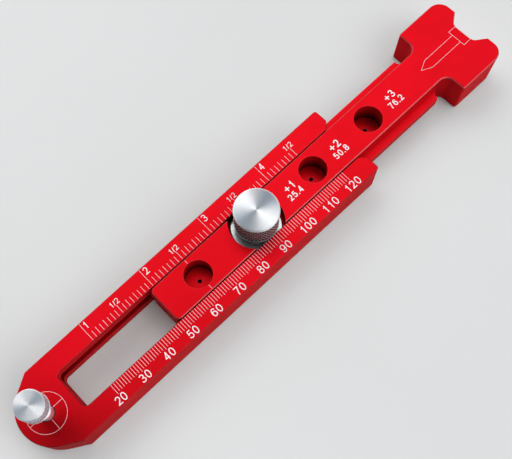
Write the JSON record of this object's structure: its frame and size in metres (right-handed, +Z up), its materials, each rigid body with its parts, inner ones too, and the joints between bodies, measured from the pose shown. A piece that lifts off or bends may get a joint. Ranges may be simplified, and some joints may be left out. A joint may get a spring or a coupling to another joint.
{
  "type": "beam compass",
  "caption": "Flat beam compass: a bar with a T-shaped head slides in a slotted frame, with a lock knob, a drop-down centre point and pencil pockets.",
  "frame": {"origin": "on the axis of the centre point, at the flat underside that lies on the work", "axes": "+X along the beam from the centre point to the head, +Z up, away from the work, +Y across the beam towards the inch scale"},
  "size_m": [0.1983, 0.0288, 0.0304],
  "materials": {
    "anodised_frame": "satin red anodised",
    "anodised_slider": "satin red anodised",
    "turned_knob": "turned face, knurled side",
    "polished_disc": "polished",
    "spring_steel": "dark spring steel",
    "screw_steel": "turned steel",
    "stem_steel": "ground steel",
    "needle_steel": "ground and hardened",
    "seal_rubber": "black rubber"
  },
  "bodies": {
    "frame": {"frame": "anodised_frame", "pivot_seal": "seal_rubber"},
    "slider": {"slider": "anodised_slider", "lock_screw": "screw_steel"},
    "lock_disc": {"lock_disc": "polished_disc"},
    "lock_knob": {"lock_knob": "turned_knob", "lock_ring": "spring_steel"},
    "pivot_ring": {"pivot_ring": "spring_steel"},
    "pivot_pin": {"pivot_knob": "turned_knob", "pivot_stem": "stem_steel", "needle": "needle_steel"}
  },
  "joints": [
    {"name": "beam_slide", "type": "slide", "parent": "frame", "child": "slider", "axis": [1, 0, 0], "range_m": [-0.0388, 0.0565]},
    {"name": "disc_rise", "type": "slide", "parent": "slider", "child": "lock_disc", "axis": [0, 0, 1], "range_m": [0, 0.0002]},
    {"name": "lock_turn", "type": "hinge", "parent": "lock_disc", "child": "lock_knob", "pos_m": [0.0889, 0, 0.012], "axis": [0, 0, 1], "range_deg": [0, 90]},
    {"name": "point_drop", "type": "slide", "parent": "frame", "child": "pivot_ring", "axis": [0, 0, -1], "range_m": [0, 0.0065]},
    {"name": "point_spin", "type": "hinge", "parent": "pivot_ring", "child": "pivot_pin", "pos_m": [0, 0, 0.012], "axis": [0, 0, 1], "continuous": true}
  ],
  "couplings": [
    {"joint": "lock_turn", "follows": "disc_rise", "rad_per_m": 7854}
  ]
}
